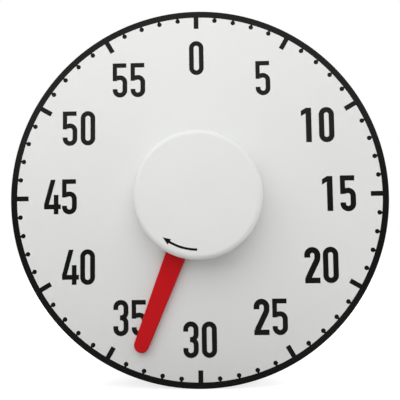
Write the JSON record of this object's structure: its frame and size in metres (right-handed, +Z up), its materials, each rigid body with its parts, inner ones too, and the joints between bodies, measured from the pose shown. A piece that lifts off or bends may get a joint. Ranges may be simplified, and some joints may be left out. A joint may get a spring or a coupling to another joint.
{
  "type": "visual countdown timer",
  "caption": "Round wind-up countdown timer for a board or wall: numbered minute dial, central knob with pointer hand, spring movement with bell behind it.",
  "frame": {"origin": "centre of the back face, on the knob's axis", "axes": "+Z up with the dial's zero at the top, dial and knob face -Y, +Y goes into the wall or board, +X to the right as the dial is read"},
  "size_m": [0.18, 0.0405, 0.18],
  "materials": {
    "white_abs": "fine moulded satin",
    "dial_white": "matt white printed sheet",
    "black_ink": "screen-printed film",
    "red_plastic": "satin moulded",
    "plated_steel": "zinc plated",
    "arbor_steel": "bright turned",
    "spring_steel": "blued",
    "brass": "stamped and turned",
    "gong_steel": "nickel plated",
    "magnet_nickel": "nickel-plated sintered neodymium"
  },
  "bodies": {
    "case": {"front_housing": "white_abs", "dial_plate": "dial_white", "rear_cover": "white_abs", "cover_screws": "plated_steel", "board_magnets": "magnet_nickel", "front_plate": "plated_steel", "rear_plate": "plated_steel", "plate_pillars": "brass", "pillar_screws": "plated_steel", "movement_screws": "plated_steel", "front_bush": "brass", "mainspring": "spring_steel", "stop_pin": "plated_steel", "hammer_spring": "spring_steel", "gong": "gong_steel", "gong_post": "brass", "gong_screw": "plated_steel"},
    "knob_and_main_arbor": {"main_arbor": "arbor_steel", "knob_cap": "white_abs", "pointer_hand": "red_plastic", "great_wheel": "brass", "ratchet_wheel": "plated_steel", "click_stud": "brass", "click_spring": "spring_steel", "click_spring_pin": "brass", "stop_arm": "plated_steel", "release_cam": "plated_steel"},
    "winding_click": {"click": "plated_steel"},
    "second_arbor_group": {"second_arbor": "arbor_steel", "second_wheel": "brass", "star_wheel": "brass"},
    "third_arbor_group": {"third_arbor": "arbor_steel", "third_wheel": "brass"},
    "escape_arbor_group": {"escape_arbor": "arbor_steel", "escape_wheel": "brass"},
    "pallet_and_balance": {"pallet_arbor": "arbor_steel", "pallet_anchor": "plated_steel", "pallet_pins": "arbor_steel", "balance_bar": "brass"},
    "hammer_group": {"hammer_arbor": "arbor_steel", "hammer_lever": "plated_steel", "hammer_head": "brass"}
  },
  "joints": [
    {"name": "knob_turn", "type": "hinge", "parent": "case", "child": "knob_and_main_arbor", "pos_m": [0, 0, 0], "axis": [0, 1, 0], "range_deg": [-201.5, 146.5], "deforming": ["mainspring"]},
    {"name": "click_lift", "type": "hinge", "parent": "knob_and_main_arbor", "child": "winding_click", "pos_m": [-0.00635, -0.0121, -0.00959], "axis": [0, -1, 0], "range_deg": [0, 10], "deforming": ["click_spring"]},
    {"name": "second_arbor_spin", "type": "hinge", "parent": "case", "child": "second_arbor_group", "pos_m": [0.0105, 0, -0.01819], "axis": [0, 1, 0], "range_deg": [-879, 1209]},
    {"name": "third_arbor_spin", "type": "hinge", "parent": "case", "child": "third_arbor_group", "pos_m": [0.02621, 0, -0.01701], "axis": [0, 1, 0], "range_deg": [-7254, 5274]},
    {"name": "escape_arbor_spin", "type": "hinge", "parent": "case", "child": "escape_arbor_group", "pos_m": [0.02815, 0, -0.00314], "axis": [0, 1, 0], "range_deg": [-31644, 43524]},
    {"name": "pallet_rock", "type": "hinge", "parent": "case", "child": "pallet_and_balance", "pos_m": [0.02815, 0, 0.00683], "axis": [0, 1, 0], "range_deg": [-4, 4]},
    {"name": "hammer_swing", "type": "hinge", "parent": "case", "child": "hammer_group", "pos_m": [-0.017, 0, -0.02], "axis": [0, 1, 0], "range_deg": [-10, 1.5], "deforming": ["hammer_spring"]}
  ],
  "couplings": [
    {"joint": "second_arbor_spin", "follows": "knob_turn", "ratio": -6},
    {"joint": "third_arbor_spin", "follows": "knob_turn", "ratio": 36},
    {"joint": "escape_arbor_spin", "follows": "knob_turn", "ratio": -216}
  ]
}
